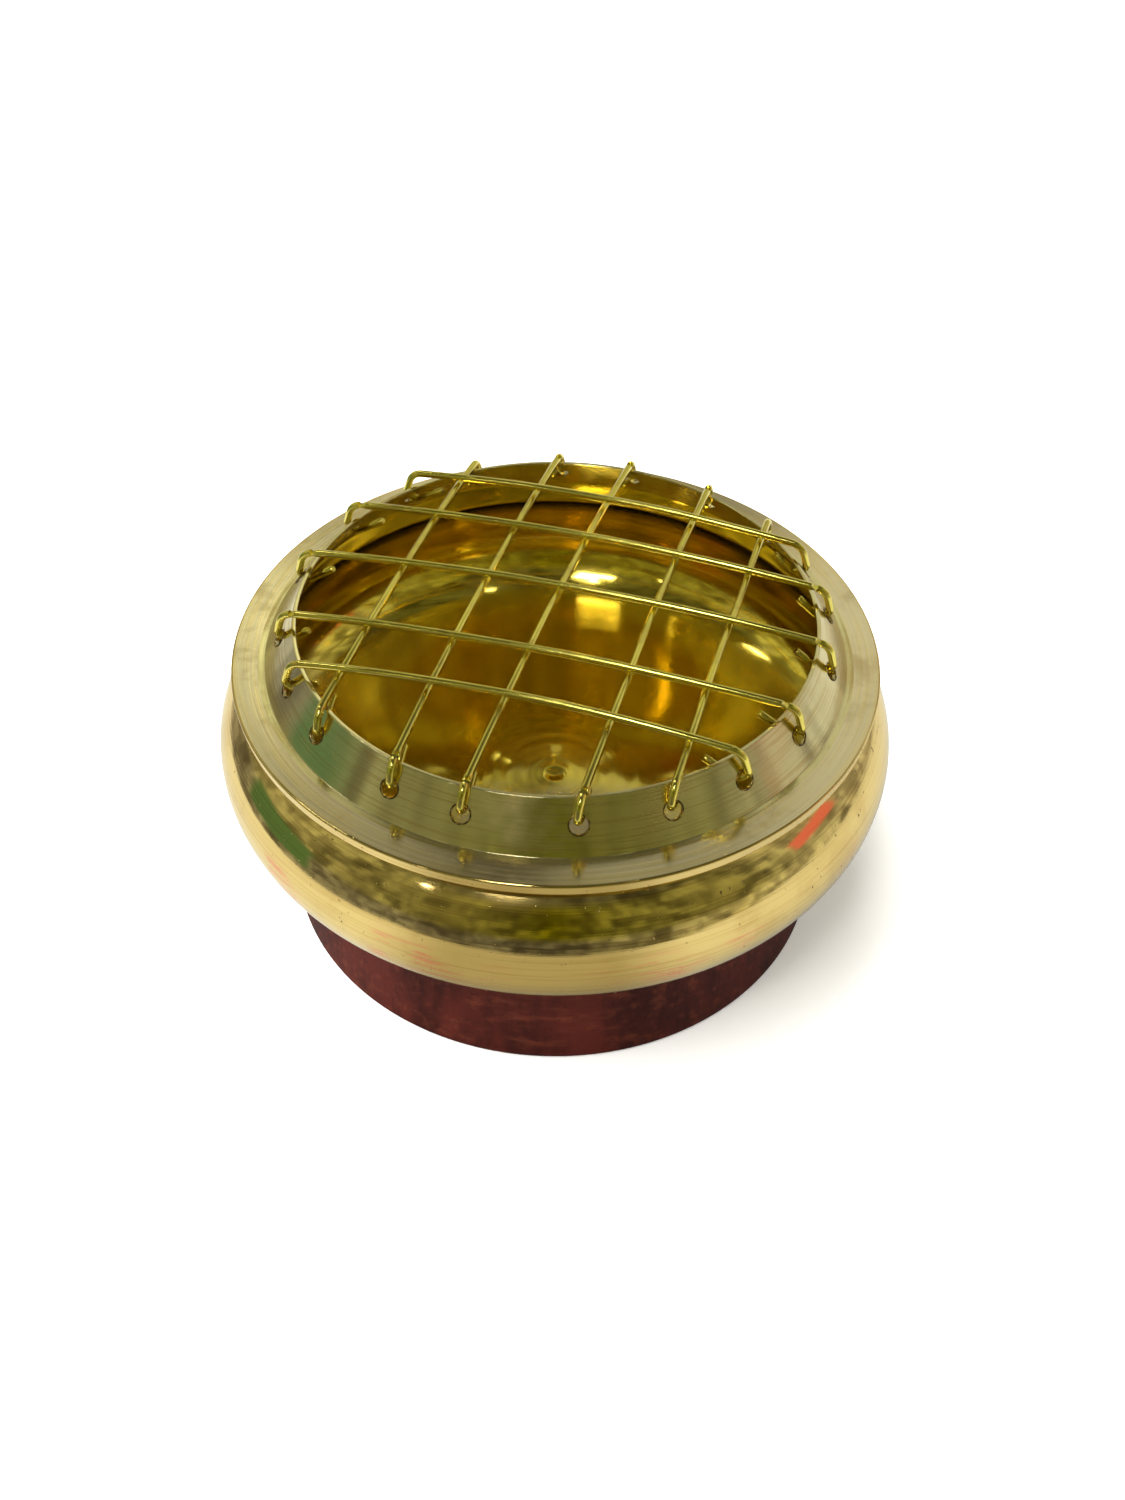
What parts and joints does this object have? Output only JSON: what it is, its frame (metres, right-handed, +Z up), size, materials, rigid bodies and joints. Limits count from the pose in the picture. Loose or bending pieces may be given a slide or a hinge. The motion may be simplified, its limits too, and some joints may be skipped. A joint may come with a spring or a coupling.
{
  "type": "charcoal incense burner",
  "caption": "Round brass bowl burner with a domed wire screen hooked through a drilled collar, standing in the seat of a turned wooden coaster.",
  "frame": {"origin": "centre of the coaster's underside, where the burner stands on a table", "axes": "+Z up along the bowl's turning axis; the front face, nearest a person using it, looks along -Y"},
  "size_m": [0.1016, 0.1016, 0.0556],
  "materials": {
    "bowl_brass": "polished belly, fine turned ring and collar",
    "wire_brass": "drawn wire, satin",
    "stained_wood": "dark red stain, satin lacquer"
  },
  "bodies": {
    "coaster": {"wooden_coaster": "stained_wood"},
    "burner": {"bowl": "bowl_brass", "lower_wire_1": "wire_brass", "lower_wire_2": "wire_brass", "lower_wire_3": "wire_brass", "lower_wire_4": "wire_brass", "lower_wire_5": "wire_brass", "upper_wire_1": "wire_brass", "upper_wire_2": "wire_brass", "upper_wire_3": "wire_brass", "upper_wire_4": "wire_brass", "upper_wire_5": "wire_brass"}
  },
  "joints": [
    {"name": "burner_lift", "type": "slide", "parent": "coaster", "child": "burner", "axis": [0, 0, 1], "range_m": [0, 0.05]}
  ]
}
